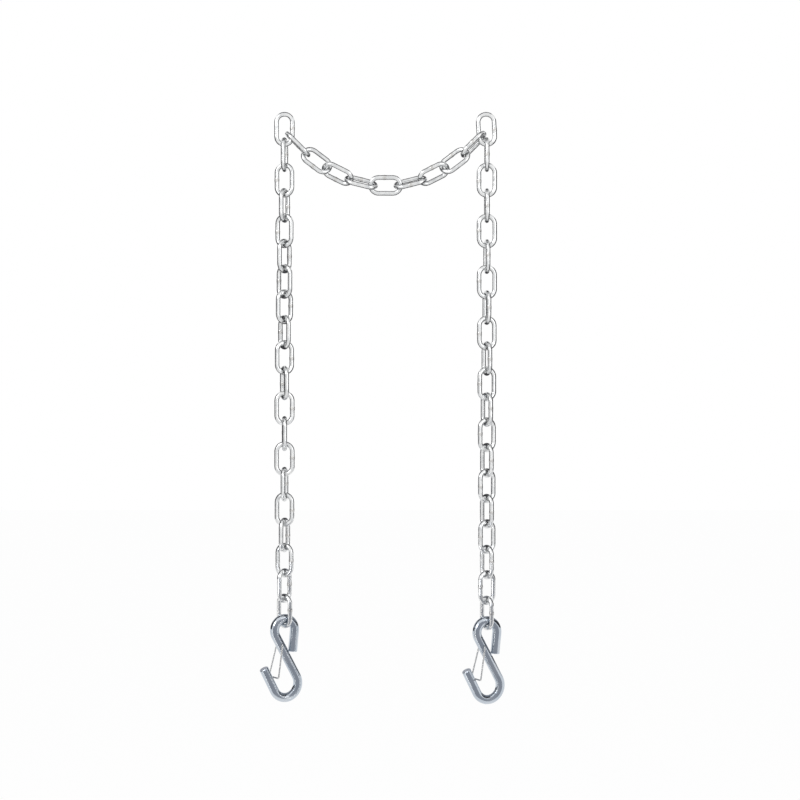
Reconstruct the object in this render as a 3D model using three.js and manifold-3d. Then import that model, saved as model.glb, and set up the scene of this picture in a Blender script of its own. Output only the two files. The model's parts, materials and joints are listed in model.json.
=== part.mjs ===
// A trailer safety chain as it hangs in store: one run of welded long links with an S-hook and a
// wire latch at each end, pegged up by two of its links so that both ends hang plumb and a short
// slack bridge joins them.
// Millimetres, +Z up, +X along the bridge, -Y towards the reader of the hooks.
// The origin is the place where a peg carries the left hang link: the inside of its top crown.
import * as THREE from "three";
import { mergeVertices } from "three/addons/utils/BufferGeometryUtils.js";
import Module from "manifold-3d";

// Chain link, round bar bent to a straight-sided oval and butt welded.
const LINK_WIRE = 6.0;
const LINK_PITCH = 33.0;
const LINK_INNER_WIDTH = 14.6;
const WIRE_GAP = 0.3; // air left between two wires that rest on each other
const LINK_SIDES = 8;
const CROWN_STEPS = 6;

// How the chain hangs.
const RUN_LINKS = 19;
const BRIDGE_LINKS = 9;
const RIGHT_RUN_STRETCH = 0.15; // added to the pitch of the right run, which hangs a little tighter
const BRIDGE_PITCH = LINK_PITCH - 0.5; // slack links ride a little apart
const BRIDGE_SLOPE_STEP = 0.25; // change of slope from one bridge link to the next
const BRIDGE_END_INSET = 5.9; // from the hang link's centre to the first bridge pivot, along X
const BRIDGE_END_RISE = 11.6; // that pivot's height over the centre of the hang link's lower crown
const RIGHT_HANG_LEAN = 3; // degrees, foot outwards
const LEFT_TWIST_STEP = 7; // degrees that each link of the left run has turned past the last
const RIGHT_TWIST_TOTAL = -34; // degrees, reached by the link at RIGHT_TWIST_END
const RIGHT_TWIST_END = 15;
const BRIDGE_ROLLS = [90, -27, 46, -64, 12, -66, 45, -32, 76]; // degrees, 0 is face on
const LEFT_HOOK_YAW = -32; // degrees, about the plumb line
const RIGHT_HOOK_YAW = -25.5;

// S-hook, round bar bent cold.
const HOOK_WIRE = 12.0;
const EYE_RADIUS = 14.7; // to the middle of the bar
const BOWL_RADIUS = 18.2;
const HOOK_DROP = 69.8; // from the eye's centre to the bowl's
const HOOK_SEAT_GAP = 0.6; // air left between the eye and the link that it hangs on
const HOOK_TRIM = -1.1; // degrees that the hook hangs turned, with its weight under the link
const TAIL_LEAN = 7; // degrees that the eye closes in past its side
const TAIL_LENGTH = 27.5;
const TIP_LEAN = 26.5; // degrees that the tip stands open
const TIP_LENGTH = 34;
const HOOK_SIDES = 12;
const HOOK_ARC_STEP = 15; // degrees of bend to a step

// Latch, a spring-wire bail whose two ends plug into one hole across the shank.
const LATCH_WIRE = 2.1;
const LATCH_HOLE = 2.9;
const LATCH_HOLE_DOWN = 17.6; // below the eye's centre
const LATCH_BAR_DOWN = 60; // below the eye's centre
const LATCH_BAR_WIDTH = 26;
const LATCH_PLUG = 4.5; // length of each end inside the hole
const LATCH_BEND = 2.4;
const LATCH_SIDES = 6;
const LATCH_BEND_STEPS = 3;

const CROWN_RADIUS = (LINK_INNER_WIDTH + LINK_WIRE) / 2;
const LINK_LENGTH = LINK_PITCH + LINK_WIRE + WIRE_GAP; // crown to crown, in the middle of the wire
const LINK_BOTTOM = LINK_WIRE / 2 - LINK_LENGTH; // lower crown of a hang link
const HALF_STRAIGHT = LINK_LENGTH / 2 - CROWN_RADIUS;

const { degToRad } = THREE.MathUtils;
const wasm = await Module();
wasm.setup();

// ---- Curves -------------------------------------------------------------------------------

/** An arc in the XZ plane, from one angle to another, in degrees from +X towards +Z. */
class PlaneArc extends THREE.Curve {
  constructor(centreX, centreZ, radius, from, to, steps) {
    super();
    Object.assign(this, { centreX, centreZ, radius, from, to, steps });
  }

  getPoint(t, target = new THREE.Vector3()) {
    const angle = degToRad(THREE.MathUtils.lerp(this.from, this.to, t));
    return target.set(
      this.centreX + this.radius * Math.cos(angle),
      0,
      this.centreZ + this.radius * Math.sin(angle),
    );
  }
}

/** The middle line of a bent wire. Each piece gives its own steps; a straight piece takes one. */
class BentWire extends THREE.Curve {
  constructor(pieces) {
    super();
    this.pieces = pieces;
    this.steps = pieces.reduce((sum, piece) => sum + (piece.steps ?? 1), 0);
  }

  getPoint(t, target = new THREE.Vector3()) {
    let at = t * this.steps;
    for (const piece of this.pieces.slice(0, -1)) {
      const steps = piece.steps ?? 1;
      if (at < steps) {
        return piece.getPoint(at / steps, target);
      }
      at -= steps;
    }
    const last = this.pieces.at(-1);
    return last.getPoint(Math.min(at / (last.steps ?? 1), 1), target);
  }

  // Steps are counted along the pieces, not along the length.
  getUtoTmapping(u) {
    return u;
  }
}

const straight = (from, to) => new THREE.LineCurve3(from, to);

/** The end of a curve, so that the next piece starts on it. */
const endOf = (curve) => curve.getPoint(1);

/** A wire that runs through corners, each rounded off. */
function roundedWire(corners, bend, bendSteps) {
  const pieces = [];
  let from = corners[0];
  for (let i = 1; i < corners.length - 1; i += 1) {
    const corner = corners[i];
    const before = corners[i - 1].clone().sub(corner).setLength(bend).add(corner);
    const after = corners[i + 1].clone().sub(corner).setLength(bend).add(corner);
    const round = new THREE.QuadraticBezierCurve3(before, corner, after);
    round.steps = bendSteps;
    pieces.push(straight(from, before), round);
    from = after;
  }
  pieces.push(straight(from, corners.at(-1)));
  return new BentWire(pieces);
}

/** A solid round bar along an open curve, with flat ends. */
function barAlong(path, diameter, sides) {
  const section = new THREE.Shape();
  for (let i = 0; i < sides; i += 1) {
    const angle = (2 * Math.PI * (i + 0.5)) / sides;
    const x = (diameter / 2) * Math.cos(angle);
    const y = (diameter / 2) * Math.sin(angle);
    if (i === 0) {
      section.moveTo(x, y);
    } else {
      section.lineTo(x, y);
    }
  }
  section.closePath();
  return new THREE.ExtrudeGeometry(section, {
    steps: path.steps,
    extrudePath: path,
    bevelEnabled: false,
  });
}

// ---- Link ---------------------------------------------------------------------------------

/** A link about its own centre: long along Z, flat in the XZ plane. */
function linkGeometry() {
  const top = new PlaneArc(0, HALF_STRAIGHT, CROWN_RADIUS, 0, 180, CROWN_STEPS);
  const bottom = new PlaneArc(0, -HALF_STRAIGHT, CROWN_RADIUS, 180, 360, CROWN_STEPS);
  const ring = new BentWire([
    top,
    straight(endOf(top), bottom.getPoint(0)),
    bottom,
    straight(endOf(bottom), top.getPoint(0)),
  ]);
  return new THREE.TubeGeometry(ring, ring.steps, LINK_WIRE / 2, LINK_SIDES, true);
}

// ---- S-hook -------------------------------------------------------------------------------

// The shank is the line that touches the eye on the left and the bowl on the right.
const SHANK_LEAN = Math.asin((EYE_RADIUS + BOWL_RADIUS) / HOOK_DROP); // radians from plumb
const SHANK_LEAN_DEG = THREE.MathUtils.radToDeg(SHANK_LEAN);

/** The hook's middle line, from its tail round the eye and down to the tip. The eye's centre is 0, 0. */
function hookPath() {
  const eyeTurn = 180 + SHANK_LEAN_DEG + TAIL_LEAN;
  const bowlTurn = 180 + SHANK_LEAN_DEG - TIP_LEAN;
  const eye = new PlaneArc(
    0,
    0,
    EYE_RADIUS,
    -TAIL_LEAN,
    180 + SHANK_LEAN_DEG,
    Math.round(eyeTurn / HOOK_ARC_STEP),
  );
  const bowl = new PlaneArc(
    0,
    -HOOK_DROP,
    BOWL_RADIUS,
    SHANK_LEAN_DEG,
    TIP_LEAN - 180,
    Math.round(bowlTurn / HOOK_ARC_STEP),
  );
  const tailLean = degToRad(TAIL_LEAN);
  const tipLean = degToRad(TIP_LEAN);
  const tail = new THREE.Vector3(-Math.sin(tailLean), 0, -Math.cos(tailLean));
  const tip = new THREE.Vector3(-Math.sin(tipLean), 0, Math.cos(tipLean));
  const tailEnd = eye.getPoint(0).addScaledVector(tail, TAIL_LENGTH);
  const tipEnd = endOf(bowl).addScaledVector(tip, TIP_LENGTH);
  return new BentWire([
    straight(tailEnd, eye.getPoint(0)),
    eye,
    straight(endOf(eye), bowl.getPoint(0)),
    bowl,
    straight(endOf(bowl), tipEnd),
  ]);
}

/** The point on the middle of the shank at a given depth below the eye's centre. */
function shankAt(depth) {
  const crossing = (HOOK_DROP * EYE_RADIUS) / (EYE_RADIUS + BOWL_RADIUS);
  return new THREE.Vector3((depth - crossing) * Math.tan(SHANK_LEAN), 0, -depth);
}

/** The point on the middle of the tip's straight part at a given depth below the eye's centre. */
function tipAt(depth) {
  const lean = degToRad(TIP_LEAN);
  const foot = new THREE.Vector3(
    -BOWL_RADIUS * Math.cos(lean),
    0,
    -HOOK_DROP - BOWL_RADIUS * Math.sin(lean),
  );
  const rise = -depth - foot.z;
  return foot.add(new THREE.Vector3(-rise * Math.tan(lean), 0, rise));
}

/** Turns a geometry into a manifold solid. */
function toSolid(geometry) {
  const bare = geometry.clone();
  bare.deleteAttribute("normal");
  bare.deleteAttribute("uv");
  const merged = mergeVertices(bare, 1e-3);
  return new wasm.Manifold(
    new wasm.Mesh({
      numProp: 3,
      vertProperties: new Float32Array(merged.attributes.position.array),
      triVerts: new Uint32Array(merged.index.array),
    }),
  );
}

/** Turns a manifold solid back into a geometry. */
function toGeometry(solid) {
  const mesh = solid.getMesh();
  const geometry = new THREE.BufferGeometry();
  geometry.setAttribute("position", new THREE.BufferAttribute(mesh.vertProperties, 3));
  geometry.setIndex(new THREE.BufferAttribute(mesh.triVerts, 1));
  geometry.computeVertexNormals();
  return geometry;
}

/** The S-hook about its eye's centre, in the XZ plane, with the latch's hole across its shank. */
function hookGeometry() {
  const drill = new THREE.CylinderGeometry(LATCH_HOLE / 2, LATCH_HOLE / 2, 2 * HOOK_WIRE, 10);
  const hole = shankAt(LATCH_HOLE_DOWN);
  drill.translate(hole.x, 0, hole.z);
  const bar = barAlong(hookPath(), HOOK_WIRE, HOOK_SIDES);
  return toGeometry(toSolid(bar).subtract(toSolid(drill)));
}

// ---- Latch --------------------------------------------------------------------------------

/** The latch in its hook's frame, resting on the inner side of the tip. */
function latchGeometry() {
  const hole = shankAt(LATCH_HOLE_DOWN);
  const clear = (HOOK_WIRE + LATCH_WIRE) / 2 + WIRE_GAP;
  const legClear = clear + LATCH_BEND / 4;
  const bar = tipAt(LATCH_BAR_DOWN);
  bar.x += clear / Math.cos(degToRad(TIP_LEAN));
  const half = LATCH_BAR_WIDTH / 2;
  const inHole = HOOK_WIRE / 2 - LATCH_PLUG;
  const at = (point, y) => new THREE.Vector3(point.x, y, point.z);
  const corners = [
    at(hole, -inHole),
    at(hole, -legClear),
    at(bar, -half),
    at(bar, half),
    at(hole, legClear),
    at(hole, inHole),
  ];
  return barAlong(roundedWire(corners, LATCH_BEND, LATCH_BEND_STEPS), LATCH_WIRE, LATCH_SIDES);
}

// ---- Materials ----------------------------------------------------------------------------

const zinc = (color, roughness) => new THREE.MeshStandardMaterial({ color, roughness, metalness: 1 });
const chainMaterial = () => zinc(0xb9bcbf, 0.32);
const hookMaterial = () => zinc(0xaab4c2, 0.2);
const latchMaterial = () => zinc(0xc4c4c2, 0.3);

// ---- Assembly -----------------------------------------------------------------------------

const LINK = linkGeometry();
const HOOK = hookGeometry();
const LATCH = latchGeometry();
const assembly = new THREE.Group();

function addMesh(parent, name, geometry, material) {
  const mesh = new THREE.Mesh(geometry, material);
  mesh.name = name;
  parent.add(mesh);
  return mesh;
}

/** How far link number `place` of a run hangs below its hang link, which is number 0. */
const dropTo = (place, stretch = 0) => place * LINK_PITCH + Math.max(place - 1, 0) * stretch;

/** Height of the centre of that link. */
const linkHeight = (place, stretch) => LINK_BOTTOM + LINK_LENGTH / 2 - dropTo(place, stretch);

const twoDigits = (number) => String(number).padStart(2, "0");

/** A plumb run of links and its hook, hung from the hang link at x. */
function addRun(side, x, stretch, twistAt, hookYaw) {
  for (let place = 1; place <= RUN_LINKS; place += 1) {
    const name = `${side}_chain_link_${twoDigits(place)}`;
    const link = addMesh(assembly, name, LINK, chainMaterial());
    link.position.set(x, 0, linkHeight(place, stretch));
    link.rotation.z = -degToRad(twistAt(place) + 90 * (place % 2));
  }
  const hung = new THREE.Group();
  hung.position.set(x, 0, LINK_BOTTOM - dropTo(RUN_LINKS, stretch));
  hung.rotation.set(0, degToRad(HOOK_TRIM), -degToRad(hookYaw), "ZYX");
  assembly.add(hung);
  const eyeHeight = (LINK_WIRE + HOOK_WIRE) / 2 + HOOK_SEAT_GAP - EYE_RADIUS;
  for (const [name, geometry, material] of [
    [`${side}_s_hook`, HOOK, hookMaterial()],
    [`${side}_latch_wire`, LATCH, latchMaterial()],
  ]) {
    addMesh(hung, name, geometry, material).position.z = eyeHeight;
  }
}

/** The two links that the chain is pegged up by. */
function addHangLinks(spacing) {
  const left = addMesh(assembly, "left_hang_link", LINK, chainMaterial());
  left.position.set(0, 0, linkHeight(0));
  // The right one leans about the middle of its lower crown, so its run stays plumb.
  const lean = new THREE.Group();
  lean.position.set(spacing, 0, LINK_BOTTOM + CROWN_RADIUS);
  lean.rotation.y = degToRad(-RIGHT_HANG_LEAN);
  assembly.add(lean);
  const right = addMesh(lean, "right_hang_link", LINK, chainMaterial());
  right.position.set(0, 0, HALF_STRAIGHT);
}

/** Slope angle of a bridge link, in radians below level, for a chain that hangs slack. */
function bridgeSlope(place) {
  const middle = (BRIDGE_LINKS + 1) / 2;
  return Math.atan(BRIDGE_SLOPE_STEP * (middle - place));
}

/** Adds the slack bridge and gives its width from end pivot to end pivot. */
function addBridge() {
  const pivot = new THREE.Vector3(BRIDGE_END_INSET, 0, LINK_BOTTOM + BRIDGE_END_RISE);
  for (let place = 1; place <= BRIDGE_LINKS; place += 1) {
    const slope = bridgeSlope(place);
    const along = new THREE.Vector3(Math.cos(slope), 0, -Math.sin(slope));
    const pitched = new THREE.Group();
    pitched.position.copy(pivot).addScaledVector(along, BRIDGE_PITCH / 2);
    pitched.rotation.y = slope - Math.PI / 2;
    assembly.add(pitched);
    const link = addMesh(pitched, `bridge_link_${place}`, LINK, chainMaterial());
    link.rotation.z = -degToRad(BRIDGE_ROLLS[place - 1]);
    pivot.addScaledVector(along, BRIDGE_PITCH);
  }
  return pivot.x - BRIDGE_END_INSET;
}

const spacing = addBridge() + 2 * BRIDGE_END_INSET;
addHangLinks(spacing);
addRun("left", 0, 0, (place) => LEFT_TWIST_STEP * place, LEFT_HOOK_YAW);
addRun(
  "right",
  spacing,
  RIGHT_RUN_STRETCH,
  (place) => RIGHT_TWIST_TOTAL * THREE.MathUtils.smoothstep(place, 1, RIGHT_TWIST_END),
  RIGHT_HOOK_YAW,
);

export default assembly;
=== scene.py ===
import json
import math

import bpy
import numpy as np
from mathutils import Matrix, Vector


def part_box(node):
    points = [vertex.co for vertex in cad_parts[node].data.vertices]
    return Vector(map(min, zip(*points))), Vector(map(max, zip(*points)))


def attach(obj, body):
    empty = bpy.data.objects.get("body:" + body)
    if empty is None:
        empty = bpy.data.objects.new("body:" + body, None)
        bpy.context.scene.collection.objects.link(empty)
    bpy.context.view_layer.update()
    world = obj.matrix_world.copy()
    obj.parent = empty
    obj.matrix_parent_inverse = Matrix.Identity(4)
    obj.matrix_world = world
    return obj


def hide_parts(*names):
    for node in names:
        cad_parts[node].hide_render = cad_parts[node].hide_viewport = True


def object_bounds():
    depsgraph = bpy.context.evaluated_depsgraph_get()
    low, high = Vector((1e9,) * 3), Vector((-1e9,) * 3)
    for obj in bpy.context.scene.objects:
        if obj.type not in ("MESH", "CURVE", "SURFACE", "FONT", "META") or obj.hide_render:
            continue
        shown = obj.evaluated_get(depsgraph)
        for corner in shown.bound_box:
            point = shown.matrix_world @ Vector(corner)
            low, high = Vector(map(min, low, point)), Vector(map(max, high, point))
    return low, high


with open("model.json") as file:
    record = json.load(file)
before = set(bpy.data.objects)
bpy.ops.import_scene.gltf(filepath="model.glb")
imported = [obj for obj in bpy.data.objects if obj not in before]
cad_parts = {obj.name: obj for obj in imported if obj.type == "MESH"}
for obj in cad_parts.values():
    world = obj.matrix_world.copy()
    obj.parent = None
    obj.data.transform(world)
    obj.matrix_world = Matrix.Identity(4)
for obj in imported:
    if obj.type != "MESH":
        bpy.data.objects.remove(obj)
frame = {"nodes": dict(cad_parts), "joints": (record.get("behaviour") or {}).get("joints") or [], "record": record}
cad_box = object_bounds()

MM = 0.001

# ---- Sizes of the parts -------------------------------------------------------------------

LINK_WIRE = 6.0 * MM
LINK_WIDTH = 20.6 * MM  # between the middles of a link's two legs
LINK_LENGTH = 39.3 * MM  # between the middles of its two crowns
LINKS_IN_RUN = 19
LINKS_IN_BRIDGE = 9
WELD_LENGTH = 3.6 * MM
WELD_HEIGHT = 0.45 * MM
LINK_UNEVENNESS = 0.3 * MM
SEED_STEP = 7.3  # from one link's pattern to the next

HOOK_BAR = 12.0 * MM
EYE_RADIUS = 14.7 * MM
BOWL_RADIUS = 18.2 * MM
HOOK_DROP = 69.8 * MM  # from the middle of the eye to the middle of the bowl
EYE_BELOW_PIN = 5.1 * MM  # from the wire that the hook hangs on to the middle of its eye
TAIL_LEAN = 7  # degrees off the plumb line, as for the tip
TAIL_LENGTH = 27.5 * MM
TIP_LEAN = 26.5
TIP_LENGTH = 34 * MM
CROPPED_EDGE = 0.7 * MM

LATCH_WIRE = 2.1 * MM
LATCH_HOLE = 2.9 * MM
HOLE_BELOW_EYE = 17.6 * MM
LATCH_BAR_BELOW_EYE = 60 * MM
LATCH_BAR_WIDTH = 26 * MM
LATCH_PLUG = 4.5 * MM
LATCH_BEND = 2.4 * MM
LEG_CLEAR = 0.3 * MM
LATCH_CROPPED_EDGE = 0.15 * MM

SHANK_LEAN = math.asin((EYE_RADIUS + BOWL_RADIUS) / HOOK_DROP)

# How finely the wires and bars are made.
LINK_SIDES = 18
LINK_CORNER_POINTS = 24
LINK_RAIL_POINTS = 190
HOOK_SIDES = 48
LATCH_SIDES = 14
LATCH_BEND_STEPS = 8
HOLE_SIDES = 28

# ---- Node helpers -------------------------------------------------------------------------


def put(tree, kind, inputs=None, **settings):
    """Adds a node. An input that is a socket is joined to it, and any other value is set."""
    node = tree.nodes.new(kind)
    for name, value in settings.items():
        setattr(node, name, value)
    for name, value in (inputs or {}).items():
        socket = node.inputs[name]
        if isinstance(value, bpy.types.NodeSocket):
            tree.links.new(value, socket)
        else:
            socket.default_value = value
    return node


def calc(tree, operation, *values):
    """The result of one Math node."""
    return put(tree, "ShaderNodeMath", dict(enumerate(values)), operation=operation).outputs[0]


def vectors(tree, operation, *values):
    """The result of one Vector Math node."""
    return put(tree, "ShaderNodeVectorMath", dict(enumerate(values)), operation=operation).outputs[0]


def scaled(tree, vector, factor):
    """A vector made longer or shorter."""
    node = put(tree, "ShaderNodeVectorMath", {0: vector, "Scale": factor}, operation="SCALE")
    return node.outputs[0]


def noise(tree, where, scale, detail=2.0, seed=None):
    """A noise pattern from 0 to 1. A seed, where there is one, is a fourth coordinate."""
    inputs = {"Vector": where, "Scale": scale, "Detail": detail}
    if seed is None:
        return put(tree, "ShaderNodeTexNoise", inputs).outputs["Fac"]
    inputs["W"] = seed
    return put(tree, "ShaderNodeTexNoise", inputs, noise_dimensions="4D").outputs["Fac"]


def ramp(tree, value, low, high, out_low=0.0, out_high=1.0):
    """A value taken from one range to another, and held at its ends."""
    return put(
        tree,
        "ShaderNodeMapRange",
        {"Value": value, "From Min": low, "From Max": high, "To Min": out_low, "To Max": out_high},
        clamp=True,
    ).outputs[0]


def shades(tree, value, stops):
    """A colour that runs through the stops, which are (place, colour)."""
    node = put(tree, "ShaderNodeValToRGB", {"Fac": value})
    band = node.color_ramp
    while len(band.elements) < len(stops):
        band.elements.new(0.5)
    for element, (place, colour) in zip(band.elements, stops):
        element.position = place
        element.color = (*colour, 1.0)
    return node.outputs["Color"]


def stored(tree, name, output="Fac"):
    """A value that the piece's own mesh carries."""
    return put(tree, "ShaderNodeAttribute", attribute_name=name).outputs[output]


def own_place(tree):
    return put(tree, "ShaderNodeTexCoord").outputs["Object"]


def blend(tree, share, first, second):
    """One colour going over to another."""
    inputs = {"Factor": share, "A": first, "B": (*second, 1.0)}
    return put(tree, "ShaderNodeMix", inputs, data_type="RGBA").outputs["Result"]


def new_finish(name):
    finish = bpy.data.materials.new(name)
    finish.use_nodes = True
    finish.node_tree.nodes.clear()
    return finish, finish.node_tree


def metal(tree, colour, roughness, height, strength, distance):
    """The plated metal itself, with its colour, its roughness and its surface."""
    bump = put(tree, "ShaderNodeBump", {"Height": height, "Strength": strength, "Distance": distance})
    shader = put(
        tree,
        "ShaderNodeBsdfPrincipled",
        {
            "Base Color": colour,
            "Metallic": 1.0,
            "Roughness": roughness,
            "Normal": bump.outputs["Normal"],
        },
    )
    put(tree, "ShaderNodeOutputMaterial", {"Surface": shader.outputs[0]})


# ---- Finishes -----------------------------------------------------------------------------


def chain_zinc():
    """Bright zinc on drawn and tumbled wire: cloudy, scuffed, and duller where it was welded."""
    finish, tree = new_finish("chain_zinc")
    place = own_place(tree)
    grain = stored(tree, "bar_grain", "Vector")
    weld = stored(tree, "weld")
    cloud = noise(tree, place, 160.0, detail=3.0)
    speck = noise(tree, place, 1500.0, detail=2.0)
    drawn = noise(tree, vectors(tree, "MULTIPLY", grain, (2600.0, 2600.0, 60.0)), 1.0, detail=2.0)
    tone = calc(tree, "MULTIPLY_ADD", speck, 0.25, calc(tree, "MULTIPLY", cloud, 0.75))
    plain = shades(
        tree,
        ramp(tree, tone, 0.3, 0.7),
        [(0.0, (0.60, 0.61, 0.62)), (0.45, (0.73, 0.74, 0.745)), (1.0, (0.86, 0.86, 0.855))],
    )
    patchy_weld = calc(tree, "MULTIPLY", weld, calc(tree, "MULTIPLY_ADD", speck, 0.9, 0.1))
    dulled = blend(tree, patchy_weld, plain, (0.52, 0.50, 0.47))
    rubbed = ramp(tree, cloud, 0.35, 0.65, 0.17, 0.26)
    rough = calc(tree, "ADD", calc(tree, "MULTIPLY", weld, 0.14), rubbed)
    height = calc(tree, "ADD", calc(tree, "MULTIPLY", drawn, 0.5), calc(tree, "MULTIPLY", speck, 0.5))
    metal(tree, dulled, rough, height, 0.025, 0.2 * MM)
    return finish


def hook_zinc():
    """Bluish bright zinc on smooth bar: nearly a mirror, with faint drawing lines along it."""
    finish, tree = new_finish("hook_zinc")
    place = own_place(tree)
    grain = stored(tree, "bar_grain", "Vector")
    cut = stored(tree, "cut_end")
    bloom = noise(tree, place, 55.0, detail=3.0)
    speck = noise(tree, place, 1300.0, detail=2.0)
    drawn = noise(tree, vectors(tree, "MULTIPLY", grain, (1500.0, 1500.0, 22.0)), 1.0, detail=3.0)
    tone = calc(tree, "MULTIPLY_ADD", drawn, 0.4, calc(tree, "MULTIPLY", bloom, 0.6))
    plated = shades(
        tree,
        ramp(tree, tone, 0.32, 0.68),
        [(0.0, (0.48, 0.53, 0.59)), (0.5, (0.56, 0.61, 0.67)), (1.0, (0.63, 0.66, 0.70))],
    )
    ended = blend(tree, cut, plated, (0.80, 0.83, 0.88))
    smooth = ramp(tree, bloom, 0.35, 0.65, 0.10, 0.16)
    lined = calc(tree, "MULTIPLY_ADD", drawn, 0.05, smooth)
    rough = calc(tree, "ADD", calc(tree, "MULTIPLY", cut, 0.20), lined)
    skin = calc(tree, "ADD", calc(tree, "MULTIPLY", drawn, 0.7), calc(tree, "MULTIPLY", speck, 0.3))
    height = calc(tree, "MULTIPLY", skin, calc(tree, "SUBTRACT", 1.0, cut))
    metal(tree, ended, rough, height, 0.012, 0.2 * MM)
    return finish


def latch_wire_finish():
    """Bright spring wire, drawn lengthwise."""
    finish, tree = new_finish("latch_wire")
    place = own_place(tree)
    grain = stored(tree, "bar_grain", "Vector")
    mottle = noise(tree, place, 420.0, detail=2.0)
    drawn = noise(tree, vectors(tree, "MULTIPLY", grain, (5000.0, 5000.0, 90.0)), 1.0, detail=2.0)
    colour = shades(
        tree,
        ramp(tree, mottle, 0.3, 0.7),
        [(0.0, (0.60, 0.60, 0.60)), (0.5, (0.78, 0.78, 0.77)), (1.0, (0.90, 0.90, 0.89))],
    )
    rough = ramp(tree, calc(tree, "ADD", mottle, drawn), 0.8, 1.2, 0.16, 0.3)
    metal(tree, colour, rough, drawn, 0.2, 0.1 * MM)
    return finish


# ---- Welded link --------------------------------------------------------------------------


def new_tree(name, sockets):
    """An empty Geometry Nodes tree with named inputs, and the identifier of each."""
    tree = bpy.data.node_groups.new(name, "GeometryNodeTree")
    face = tree.interface
    face.new_socket("Geometry", in_out="OUTPUT", socket_type="NodeSocketGeometry")
    face.new_socket("Geometry", in_out="INPUT", socket_type="NodeSocketGeometry")
    names = {}
    for label, kind in sockets:
        names[label] = face.new_socket(label, in_out="INPUT", socket_type=kind).identifier
    return tree, names


def capture(tree, geometry, value, kind="FLOAT"):
    """Keeps a value on the points of a geometry. Gives the geometry and the kept value."""
    node = put(tree, "GeometryNodeCaptureAttribute", {"Geometry": geometry}, domain="POINT")
    node.capture_items.new(kind, "kept")
    tree.links.new(value, node.inputs[1])
    return node.outputs["Geometry"], node.outputs[1]


def keep_as(tree, geometry, name, kind, value):
    """Stores a value on the points of a geometry for the finish to read."""
    node = put(
        tree,
        "GeometryNodeStoreNamedAttribute",
        {"Geometry": geometry, "Name": name},
        data_type=kind,
        domain="POINT",
    )
    slot = next(s for s in node.inputs if s.name == "Value" and s.enabled)
    tree.links.new(value, slot)
    return node.outputs["Geometry"]


def last_steps(tree, geometry, finish):
    """The end of each tree: one real mesh, smooth, with its finish on."""
    real = put(tree, "GeometryNodeRealizeInstances", {"Geometry": geometry}).outputs[0]
    smooth = put(tree, "GeometryNodeSetShadeSmooth", {"Geometry": real, "Shade Smooth": True}).outputs[0]
    coated = put(tree, "GeometryNodeSetMaterial", {"Geometry": smooth, "Material": finish}).outputs[0]
    put(tree, "NodeGroupOutput", {"Geometry": coated})


def round_bar(tree, rail, diameter, sides, scale, caps):
    """Sweeps a round section along a rail, and stores the straightened bar as bar_grain."""
    along = put(tree, "GeometryNodeSplineParameter").outputs["Length"]
    rail, length = capture(tree, rail, along)
    half = calc(tree, "MULTIPLY", diameter, 0.5)
    circle = {"Resolution": sides, "Radius": half}
    ring = put(tree, "GeometryNodeCurvePrimitiveCircle", circle, mode="RADIUS")
    turn = put(tree, "GeometryNodeSplineParameter").outputs["Factor"]
    section, share = capture(tree, ring.outputs["Curve"], turn)
    bar = put(
        tree,
        "GeometryNodeCurveToMesh",
        {"Curve": rail, "Profile Curve": section, "Scale": scale, "Fill Caps": caps},
    ).outputs["Mesh"]
    angle = calc(tree, "MULTIPLY", share, 2 * math.pi)
    straightened = put(
        tree,
        "ShaderNodeCombineXYZ",
        {
            "X": calc(tree, "MULTIPLY", calc(tree, "COSINE", angle), half),
            "Y": calc(tree, "MULTIPLY", calc(tree, "SINE", angle), half),
            "Z": length,
        },
    ).outputs[0]
    return keep_as(tree, bar, "bar_grain", "FLOAT_VECTOR", straightened)


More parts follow.
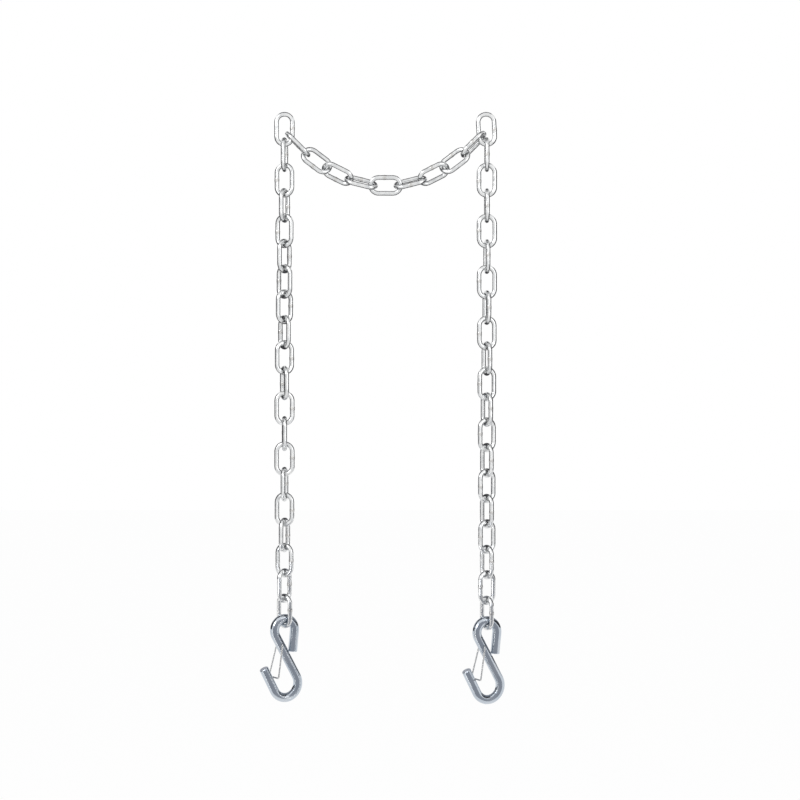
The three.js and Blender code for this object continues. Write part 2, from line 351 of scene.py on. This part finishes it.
def welded_link_tree():
    """A link of round wire, butt welded in the middle of one leg, at each point that it is given."""
    tree, names = new_tree(
        "welded_link",
        [
            ("Wire", "NodeSocketFloat"),
            ("Width", "NodeSocketFloat"),
            ("Length", "NodeSocketFloat"),
            ("Weld length", "NodeSocketFloat"),
            ("Weld height", "NodeSocketFloat"),
            ("Unevenness", "NodeSocketFloat"),
            ("Turn", "NodeSocketRotation"),
            ("Seed", "NodeSocketFloat"),
            ("Finish", "NodeSocketMaterial"),
        ],
    )
    given = put(tree, "NodeGroupInput").outputs
    place = put(tree, "GeometryNodeInputPosition").outputs[0]

    rectangle = put(
        tree,
        "GeometryNodeCurvePrimitiveQuadrilateral",
        {"Width": given["Width"], "Height": given["Length"]},
        mode="RECTANGLE",
    )
    # A hair under half the width, so that the two rounded corners of a crown don't meet.
    crown = calc(tree, "MULTIPLY", given["Width"], 0.4995)
    rounded = put(
        tree,
        "GeometryNodeFilletCurve",
        {"Curve": rectangle.outputs[0], "Radius": crown, "Count": LINK_CORNER_POINTS, "Limit Radius": True},
        mode="POLY",
    )
    even = put(
        tree,
        "GeometryNodeResampleCurve",
        {"Curve": rounded.outputs[0], "Count": LINK_RAIL_POINTS},
        mode="COUNT",
    )

    # Bent by machine, so no two links are quite the same oval.
    waver = put(
        tree,
        "ShaderNodeTexNoise",
        {"Vector": place, "W": given["Seed"], "Scale": 38.0, "Detail": 1.0},
        noise_dimensions="4D",
    ).outputs["Color"]
    flat = vectors(tree, "MULTIPLY", vectors(tree, "SUBTRACT", waver, (0.5, 0.5, 0.5)), (1.0, 1.0, 0.0))
    pushed = scaled(tree, flat, given["Unevenness"])
    rail = put(tree, "GeometryNodeSetPosition", {"Geometry": even.outputs[0], "Offset": pushed})

    # The weld stands a little proud of the leg, with its flash trimmed off in a band.
    apart = put(tree, "ShaderNodeSeparateXYZ", {"Vector": place}).outputs
    wander = calc(tree, "MULTIPLY", calc(tree, "SINE", given["Seed"]), 1.4 * MM)
    off_weld = calc(tree, "ABSOLUTE", calc(tree, "SUBTRACT", apart["Y"], wander))
    from_weld = calc(tree, "DIVIDE", off_weld, given["Weld length"])
    band = ramp(tree, from_weld, 0.62, 0.42)
    swell = calc(tree, "EXPONENT", calc(tree, "MULTIPLY", calc(tree, "POWER", from_weld, 2.0), -1.6))
    this_leg = ramp(tree, apart["X"], 0.0, 2 * MM)
    shape = calc(tree, "MULTIPLY_ADD", band, 0.6, calc(tree, "MULTIPLY", swell, 0.4))
    raised = calc(tree, "MULTIPLY", this_leg, shape)
    proud = calc(tree, "DIVIDE", given["Weld height"], given["Wire"])
    scale = calc(tree, "MULTIPLY_ADD", raised, proud, 1.0)
    welded, weld = capture(tree, rail.outputs[0], raised)
    bar = round_bar(tree, welded, given["Wire"], LINK_SIDES, scale, False)
    bar = keep_as(tree, bar, "weld", "FLOAT", weld)

    # Tumbled in the plating barrel: small dents all over, and a ragged weld.
    normal = put(tree, "GeometryNodeInputNormal").outputs[0]
    dents = noise(tree, place, 190.0, detail=1.0, seed=given["Seed"])
    ragged = noise(tree, place, 1100.0, detail=1.0, seed=given["Seed"])
    shallow = calc(tree, "MULTIPLY", calc(tree, "SUBTRACT", dents, 0.55), 0.14 * MM)
    raggedness = calc(tree, "MULTIPLY", weld, 0.45 * MM)
    torn = calc(tree, "MULTIPLY", calc(tree, "SUBTRACT", ragged, 0.5), raggedness)
    depth = calc(tree, "ADD", shallow, torn)
    dent = scaled(tree, normal, depth)
    worn = put(tree, "GeometryNodeSetPosition", {"Geometry": bar, "Offset": dent})

    spots = put(tree, "GeometryNodeMeshToPoints", {"Mesh": given["Geometry"]}, mode="VERTICES")
    placed = put(
        tree,
        "GeometryNodeInstanceOnPoints",
        {"Points": spots.outputs[0], "Instance": worn.outputs[0], "Rotation": given["Turn"]},
    )
    last_steps(tree, placed.outputs[0], given["Finish"])
    return tree, names


def bent_bar_tree():
    """A round bar along the edges that it is given, with its cropped ends taken off."""
    tree, names = new_tree(
        "bent_bar",
        [
            ("Bar", "NodeSocketFloat"),
            ("Cropped edge", "NodeSocketFloat"),
            ("Sides", "NodeSocketInt"),
            ("Finish", "NodeSocketMaterial"),
        ],
    )
    given = put(tree, "NodeGroupInput").outputs
    rail = put(tree, "GeometryNodeMeshToCurve", {"Mesh": given["Geometry"]}).outputs[0]
    along = put(tree, "GeometryNodeSplineParameter").outputs["Length"]
    whole = put(tree, "GeometryNodeSplineLength").outputs["Length"]
    from_end = calc(tree, "MINIMUM", along, calc(tree, "SUBTRACT", whole, along))
    lost = calc(tree, "MAXIMUM", calc(tree, "SUBTRACT", given["Cropped edge"], from_end), 0.0)
    half = calc(tree, "MULTIPLY", given["Bar"], 0.5)
    scale = calc(tree, "SUBTRACT", 1.0, calc(tree, "DIVIDE", lost, half))
    bar = round_bar(tree, rail, given["Bar"], given["Sides"], scale, True)
    last_steps(tree, bar, given["Finish"])
    return tree, names


def made(name, points, edges, tree, names, values):
    """Runs a tree over some points and edges, and gives its result as a plain mesh object."""
    mesh = bpy.data.meshes.new(name + "_points")
    mesh.from_pydata([tuple(p) for p in points], edges, [])
    piece = bpy.data.objects.new(name, mesh)
    bpy.context.scene.collection.objects.link(piece)
    modifier = piece.modifiers.new("make", "NODES")
    modifier.node_group = tree
    for label, value in values.items():
        modifier[names[label]] = value
    return plain(piece)


def plain(piece):
    """Takes a piece's modifiers off, and leaves what they made."""
    bpy.context.view_layer.update()
    graph = bpy.context.evaluated_depsgraph_get()
    mesh = bpy.data.meshes.new_from_object(piece.evaluated_get(graph), depsgraph=graph)
    piece.modifiers.clear()
    old = piece.data
    piece.data = mesh
    mesh.name = piece.name
    bpy.data.meshes.remove(old)
    return piece


def stand_in(piece, node):
    """The piece takes the place of its CAD node, on that node's body."""
    body = next(b for b, nodes in frame["record"]["behaviour"]["bodies"].items() if node in nodes)
    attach(piece, body)
    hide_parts(node)


# ---- Where each link is -------------------------------------------------------------------


def lie_of(node):
    """The middle of a CAD link, and the directions of its length and of its width."""
    mesh = frame["nodes"][node].data
    points = np.array([v.co for v in mesh.vertices])
    middle = points.mean(axis=0)
    spread, axes = np.linalg.eigh(np.cov((points - middle).T))
    order = np.argsort(spread)
    return Vector(middle), Vector(axes[:, order[2]]), Vector(axes[:, order[1]])


def make_link(node, weld_towards, seed, tree, names, finish):
    middle, length, width = lie_of(node)
    if width.dot(Vector(weld_towards)) < 0:
        width.negate()
    turn = Matrix((width, length, width.cross(length))).transposed()
    link = made(
        node + "_fine",
        [middle],
        [],
        tree,
        names,
        {
            "Wire": LINK_WIRE,
            "Width": LINK_WIDTH,
            "Length": LINK_LENGTH,
            "Weld length": WELD_LENGTH,
            "Weld height": WELD_HEIGHT,
            "Unevenness": LINK_UNEVENNESS,
            "Turn": turn.to_euler(),
            "Seed": seed,
            "Finish": finish,
        },
    )
    stand_in(link, node)
    return width


def make_chain(finish):
    tree, names = welded_link_tree()
    right = Vector((1, 0, 0))
    forward = Vector((0, -1, 0))
    up = Vector((0, 0, 1))
    seed = 1.0
    # On the left run the weld is on the other leg at every second link, on the right run it isn't.
    for side, odd_welds in (("left", -1), ("right", 1)):
        make_link(f"{side}_hang_link", right, seed, tree, names, finish)
        seed += SEED_STEP
        facing = [right, forward * odd_welds]
        for place in range(1, LINKS_IN_RUN + 1):
            node = f"{side}_chain_link_{place:02d}"
            facing.append(make_link(node, facing[-2 if place > 1 else 1], seed, tree, names, finish))
            seed += SEED_STEP
    for place in range(1, LINKS_IN_BRIDGE + 1):
        weld_towards = -up if place in (2, 3, 6) else up
        make_link(f"bridge_link_{place}", weld_towards, seed, tree, names, finish)
        seed += SEED_STEP


# ---- S-hook and latch ---------------------------------------------------------------------


def arc(x, z, radius, start, end, step=3.0):
    """Points round an arc in the hook's plane, in degrees from its right towards its top."""
    count = max(2, round(abs(end - start) / step))
    angles = [math.radians(start + (end - start) * i / count) for i in range(count + 1)]
    return [Vector((x + radius * math.cos(a), 0, z + radius * math.sin(a))) for a in angles]


def straight(start, end, spacing):
    """Points between two ends, without the ends."""
    count = max(1, round((end - start).length / spacing))
    return [start.lerp(end, i / count) for i in range(1, count)]


def hook_line():
    """The middle line of the S-hook, from its tail to its tip, about the middle of its eye."""
    lean = math.degrees(SHANK_LEAN)
    eye = arc(0, 0, EYE_RADIUS, -TAIL_LEAN, 180 + lean)
    bowl = arc(0, -HOOK_DROP, BOWL_RADIUS, lean, TIP_LEAN - 180)
    tail_way = Vector((-math.sin(math.radians(TAIL_LEAN)), 0, -math.cos(math.radians(TAIL_LEAN))))
    tip_way = Vector((-math.sin(math.radians(TIP_LEAN)), 0, math.cos(math.radians(TIP_LEAN))))
    tail_end = eye[0] + tail_way * TAIL_LENGTH
    tip_end = bowl[-1] + tip_way * TIP_LENGTH
    tail_edge = tail_end - tail_way * CROPPED_EDGE
    tip_edge = tip_end - tip_way * CROPPED_EDGE
    return (
        [tail_end, tail_edge]
        + straight(tail_edge, eye[0], 2 * MM)
        + eye
        + straight(eye[-1], bowl[0], 1.2 * MM)
        + bowl
        + straight(bowl[-1], tip_edge, 2 * MM)
        + [tip_edge, tip_end]
    )


def shank_at(depth):
    """The middle of the shank at a depth below the middle of the eye."""
    crossing = HOOK_DROP * EYE_RADIUS / (EYE_RADIUS + BOWL_RADIUS)
    return Vector(((depth - crossing) * math.tan(SHANK_LEAN), 0, -depth))


def tip_at(depth):
    """The middle of the tip's arm at a depth below the middle of the eye."""
    lean = math.radians(TIP_LEAN)
    foot = Vector((-BOWL_RADIUS * math.cos(lean), 0, -HOOK_DROP - BOWL_RADIUS * math.sin(lean)))
    rise = -depth - foot.z
    return foot + Vector((-rise * math.tan(lean), 0, rise))


def latch_line():
    """The latch's wire, from inside one end of the hole, round its bar, and back into the other."""
    hole = shank_at(HOLE_BELOW_EYE)
    clear = (HOOK_BAR + LATCH_WIRE) / 2 + LEG_CLEAR
    leg = clear + LATCH_BEND / 4
    bar = tip_at(LATCH_BAR_BELOW_EYE)
    bar.x += clear / math.cos(math.radians(TIP_LEAN))
    half = LATCH_BAR_WIDTH / 2
    inside = HOOK_BAR / 2 - LATCH_PLUG
    corners = [
        Vector((hole.x, -inside, hole.z)),
        Vector((hole.x, -leg, hole.z)),
        Vector((bar.x, -half, bar.z)),
        Vector((bar.x, half, bar.z)),
        Vector((hole.x, leg, hole.z)),
        Vector((hole.x, inside, hole.z)),
    ]
    line = [corners[0]]
    for before, corner, after in zip(corners, corners[1:], corners[2:]):
        start = corner + (before - corner).normalized() * LATCH_BEND
        end = corner + (after - corner).normalized() * LATCH_BEND
        for i in range(LATCH_BEND_STEPS + 1):
            t = i / LATCH_BEND_STEPS
            line.append(start * (1 - t) ** 2 + corner * 2 * t * (1 - t) + end * t**2)
    return line + [corners[-1]]


def joint(name):
    return next(j for j in frame["joints"] if j["name"] == name)


def hook_place(side):
    """The matrix that takes the hook's own plane to where the frame hangs it."""
    pin = Vector(joint(f"{side}_hook_swing")["pos_m"])
    hole = Vector(joint(f"{side}_latch_turn")["pos_m"])
    across = -Vector(joint(f"{side}_latch_turn")["axis"]).normalized()
    drop = (hole - pin).normalized()
    hung = Matrix((drop, across, drop.cross(across))).transposed()
    own_pin = Vector((0, 0, EYE_BELOW_PIN))
    own_drop = (shank_at(HOLE_BELOW_EYE) - own_pin).normalized()
    own_across = Vector((0, 1, 0))
    own = Matrix((own_drop, own_across, own_drop.cross(own_across))).transposed()
    turn = (hung @ own.transposed()).to_4x4()
    return Matrix.Translation(pin) @ turn @ Matrix.Translation(-own_pin)


def chain_of_edges(count):
    return [(i, i + 1) for i in range(count - 1)]


def drill(piece, place):
    """Drills the latch's hole across the shank."""
    bit = bpy.data.meshes.new("bit")
    points = []
    for y in (-HOOK_BAR, HOOK_BAR):
        for i in range(HOLE_SIDES):
            angle = 2 * math.pi * i / HOLE_SIDES
            x = LATCH_HOLE / 2 * math.cos(angle)
            z = LATCH_HOLE / 2 * math.sin(angle)
            points.append(tuple(place @ (shank_at(HOLE_BELOW_EYE) + Vector((x, y, z)))))
    walls = []
    for i in range(HOLE_SIDES):
        after = (i + 1) % HOLE_SIDES
        walls.append((i, i + HOLE_SIDES, after + HOLE_SIDES, after))
    ends = [tuple(range(HOLE_SIDES)), tuple(reversed(range(HOLE_SIDES, 2 * HOLE_SIDES)))]
    bit.from_pydata(points, [], walls + ends)
    tool = bpy.data.objects.new("bit", bit)
    bpy.context.scene.collection.objects.link(tool)
    cut = piece.modifiers.new("hole", "BOOLEAN")
    cut.operation = "DIFFERENCE"
    cut.solver = "EXACT"
    cut.object = tool
    plain(piece)
    bpy.data.objects.remove(tool)
    bpy.data.meshes.remove(bit)


def mark_cut_ends(mesh, ends):
    """Marks the points of the cropped faces, for the finish."""
    marks = mesh.attributes.new("cut_end", "FLOAT", "POINT")
    for vertex in mesh.vertices:
        for spot, way in ends:
            off = vertex.co - spot
            if off.length < HOOK_BAR and abs(off.dot(way)) < 0.05 * MM:
                marks.data[vertex.index].value = 1.0


def make_hooks(hook_finish, latch_finish):
    tree, names = bent_bar_tree()
    for side in ("left", "right"):
        place = hook_place(side)
        line = [place @ p for p in hook_line()]
        hook = made(
            f"{side}_hook_bar",
            line,
            chain_of_edges(len(line)),
            tree,
            names,
            {"Bar": HOOK_BAR, "Cropped edge": CROPPED_EDGE, "Sides": HOOK_SIDES, "Finish": hook_finish},
        )
        drill(hook, place)
        mark_cut_ends(
            hook.data,
            [(line[0], (line[1] - line[0]).normalized()), (line[-1], (line[-2] - line[-1]).normalized())],
        )
        hook.data.set_sharp_from_angle(angle=math.radians(35))
        stand_in(hook, f"{side}_s_hook")

        wire = [place @ p for p in latch_line()]
        latch = made(
            f"{side}_latch_bail",
            wire,
            chain_of_edges(len(wire)),
            tree,
            names,
            {
                "Bar": LATCH_WIRE,
                "Cropped edge": LATCH_CROPPED_EDGE,
                "Sides": LATCH_SIDES,
                "Finish": latch_finish,
            },
        )
        stand_in(latch, f"{side}_latch_wire")


# ---- Studio -------------------------------------------------------------------------------

MIDDLE = (Vector(cad_box[0]) + Vector(cad_box[1])) / 2
FLOOR_HEIGHT = -1.05
FLOOR_REACH = 9.0
CAMERA_AWAY = 2.4
CAMERA_X = 0.1504
CAMERA_HEIGHT = -0.369
FIELD = 1.0416  # width of the view at the chain

# Colours of cards seen only in the metal: charcoal and slate paint dark and grey reflections, and the glowing
# strip and patch paint highlights.
CHARCOAL = (0.06, 0.06, 0.065)
SLATE = (0.37, 0.38, 0.41)
PAINTED_HIGHLIGHT_STRIP = (4.5, 4.3, 3.9)
PAINTED_HIGHLIGHT_PATCH = (7.0, 7.2, 7.5)


def seen_or_mirrored(tree):
    """1 where the camera sees a surface straight or in metal, and 0 where it only lights."""
    path = put(tree, "ShaderNodeLightPath").outputs
    mirrored = calc(tree, "MAXIMUM", path["Is Glossy Ray"], path["Is Transmission Ray"])
    return calc(tree, "MAXIMUM", path["Is Camera Ray"], mirrored)


def studio_world():
    world = bpy.data.worlds.new("studio")
    bpy.context.scene.world = world
    world.use_nodes = True
    tree = world.node_tree
    tree.nodes.clear()
    room = put(tree, "ShaderNodeBackground", {"Color": (0.9, 0.92, 0.95, 1.0), "Strength": 0.6})
    white = put(tree, "ShaderNodeBackground", {"Color": (1.0, 1.0, 1.0, 1.0), "Strength": 1.0})
    share = seen_or_mirrored(tree)
    mixed = put(tree, "ShaderNodeMixShader", {0: share, 1: room.outputs[0], 2: white.outputs[0]})
    put(tree, "ShaderNodeOutputWorld", {"Surface": mixed.outputs[0]})


def pale_floor():
    mesh = bpy.data.meshes.new("floor")
    left, right = MIDDLE.x - FLOOR_REACH, MIDDLE.x + FLOOR_REACH
    front, back = MIDDLE.y - FLOOR_REACH, MIDDLE.y + FLOOR_REACH
    z = FLOOR_HEIGHT
    corners = [(left, front, z), (right, front, z), (right, back, z), (left, back, z)]
    mesh.from_pydata(corners, [], [(0, 1, 2, 3)])
    floor = bpy.data.objects.new("floor", mesh)
    bpy.context.scene.collection.objects.link(floor)
    finish, tree = new_finish("pale_floor")
    paint = put(tree, "ShaderNodeBsdfDiffuse", {"Color": (0.92, 0.92, 0.92, 1.0)})
    white = put(tree, "ShaderNodeEmission", {"Color": (1.0, 1.0, 1.0, 1.0), "Strength": 1.0})
    share = calc(tree, "MULTIPLY", seen_or_mirrored(tree), 0.97)
    mixed = put(tree, "ShaderNodeMixShader", {0: share, 1: paint.outputs[0], 2: white.outputs[0]})
    put(tree, "ShaderNodeOutputMaterial", {"Surface": mixed.outputs[0]})
    mesh.materials.append(finish)


def softbox(name, place, aim, width, height, watts):
    data = bpy.data.lights.new(name, "AREA")
    data.shape = "RECTANGLE"
    data.size = width
    data.size_y = height
    data.energy = watts
    light = bpy.data.objects.new(name, data)
    light.location = place
    light.rotation_euler = (Vector(aim) - Vector(place)).to_track_quat("-Z", "Y").to_euler()
    bpy.context.scene.collection.objects.link(light)


def painted_reflection_card(name, corners, colour):
    """A card, dark or glowing, that only shows in the metal and throws no shadow: a painted reflection."""
    mesh = bpy.data.meshes.new(name)
    mesh.from_pydata([tuple(c) for c in corners], [], [(0, 1, 2, 3)])
    card = bpy.data.objects.new(name, mesh)
    bpy.context.scene.collection.objects.link(card)
    finish, tree = new_finish(name)
    paint = put(tree, "ShaderNodeEmission", {"Color": (*colour, 1.0), "Strength": 1.0})
    put(tree, "ShaderNodeOutputMaterial", {"Surface": paint.outputs[0]})
    mesh.materials.append(finish)
    card.visible_camera = False
    card.visible_diffuse = False
    card.visible_shadow = False
    card.visible_transmission = False


def upright_card(name, left, right, y, bottom, top, colour):
    painted_reflection_card(name, [(left, y, bottom), (right, y, bottom), (right, y, top), (left, y, top)], colour)


def chain_cards():
    """Cards beside, over and under the chain, seen only in the metal, paint dark reflections along the edges of
    its wire.
    """
    lowest, highest = Vector(cad_box[0]), Vector(cad_box[1])
    front, back, bottom, top = -0.20, 0.85, -0.65, 0.25
    for name, x in (("flag_left", lowest.x - 0.45), ("flag_right", highest.x + 0.45)):
        painted_reflection_card(name, [(x, front, bottom), (x, back, bottom), (x, back, top), (x, front, top)], CHARCOAL)
    left, right, back = -0.3, 0.56, 0.8
    for name, z, front, colour in (
        ("flag_over", 0.45, -0.12, CHARCOAL),
        ("flag_bridge", -0.36, 0.0, CHARCOAL),
        ("flag_under", -0.50, 0.1, SLATE),
    ):
        painted_reflection_card(name, [(left, front, z), (right, front, z), (right, back, z), (left, back, z)], colour)


def hook_cards():
    """A grey card close in front of each hook, seen only in the metal, paints the grey reflection down the middle
    of its bar.
    A glowing strip at the card's left edge, no lamp, paints the bright highlight line beside it, and a small
    glowing patch paints the highlight on the eye."""
    for side in ("left", "right"):
        low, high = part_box(f"{side}_s_hook")
        middle = (low + high) / 2
        y = middle.y - 0.08
        left, right = middle.x - 0.082, middle.x + 0.138
        bottom, top = low.z - 0.09, high.z + 0.055
        # Grey card: painted reflection. Glowing strip and patch: painted highlights, seen only in the metal.
        upright_card(f"flag_{side}_hook", left, right, y, bottom, top, SLATE)
        upright_card(f"strip_{side}_hook", left - 0.008, left, y, bottom, top - 0.03, PAINTED_HIGHLIGHT_STRIP)
        left, right = middle.x - 0.062, middle.x - 0.036
        bottom, top = high.z + 0.018, high.z + 0.05
        upright_card(f"patch_{side}_hook", left, right, y + 0.004, bottom, top, PAINTED_HIGHLIGHT_PATCH)


def camera():
    data = bpy.data.cameras.new("camera")
    data.sensor_width = 36.0
    data.lens = data.sensor_width * CAMERA_AWAY / FIELD
    data.clip_end = 60.0
    view = bpy.data.objects.new("camera", data)
    view.location = (CAMERA_X, -CAMERA_AWAY, CAMERA_HEIGHT)
    view.rotation_euler = (math.radians(90), 0, 0)
    bpy.context.scene.collection.objects.link(view)
    bpy.context.scene.camera = view


# ---- Assembly -----------------------------------------------------------------------------

make_chain(chain_zinc())
make_hooks(hook_zinc(), latch_wire_finish())
studio_world()
pale_floor()
chain_cards()
hook_cards()
softbox("key", (-1.1, -1.5, 0.7), (0.12, 0, -0.4), width=0.9, height=0.9, watts=11)
softbox("fill", (1.5, -1.6, 0.1), (0.12, 0, -0.4), width=1.0, height=1.4, watts=5)
softbox("top", (0.1, 0.2, 1.1), (0.13, 0, -0.4), width=1.2, height=0.8, watts=4)
camera()
bpy.context.scene.view_settings.view_transform = "Standard"
